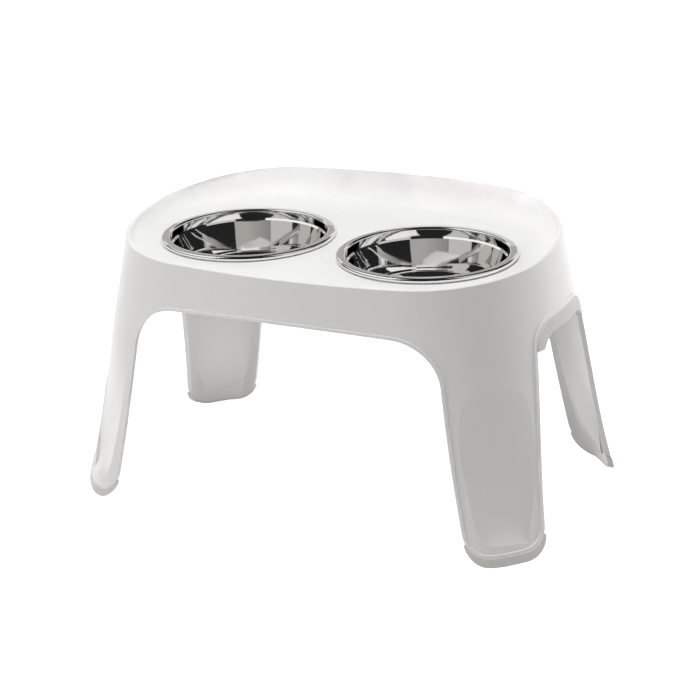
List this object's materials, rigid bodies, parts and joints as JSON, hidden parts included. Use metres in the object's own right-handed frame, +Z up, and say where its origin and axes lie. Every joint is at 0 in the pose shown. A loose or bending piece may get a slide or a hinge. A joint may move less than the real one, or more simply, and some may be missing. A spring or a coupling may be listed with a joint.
{
  "type": "elevated pet feeder",
  "caption": "Raised feeding table: one-piece oval tray on flared legs, with lift-out steel bowls, rubber foot pads and soft hand grips under the end arches.",
  "frame": {"origin": "on the floor, under the middle of the footprint", "axes": "+X along the length, -Y towards the low front rim, +Y towards the raised back, +Z up"},
  "size_m": [0.4576, 0.2678, 0.2606],
  "materials": {
    "white_plastic": "smooth moulded gloss",
    "steel": "mirror polished",
    "grey_rubber": "matt moulded"
  },
  "bodies": {
    "stand_body": {"stand": "white_plastic", "foot_pad_front_left": "grey_rubber", "foot_pad_front_right": "grey_rubber", "foot_pad_rear_left": "grey_rubber", "foot_pad_rear_right": "grey_rubber", "hand_grip_left": "grey_rubber", "hand_grip_right": "grey_rubber"},
    "left_bowl_body": {"bowl_left": "steel"},
    "right_bowl_body": {"bowl_right": "steel"}
  },
  "joints": [
    {"name": "bowl_left_lift", "type": "slide", "parent": "stand_body", "child": "left_bowl_body", "axis": [0, 0, 1], "range_m": [0, 0.09]},
    {"name": "bowl_right_lift", "type": "slide", "parent": "stand_body", "child": "right_bowl_body", "axis": [0, 0, 1], "range_m": [0, 0.09]}
  ]
}
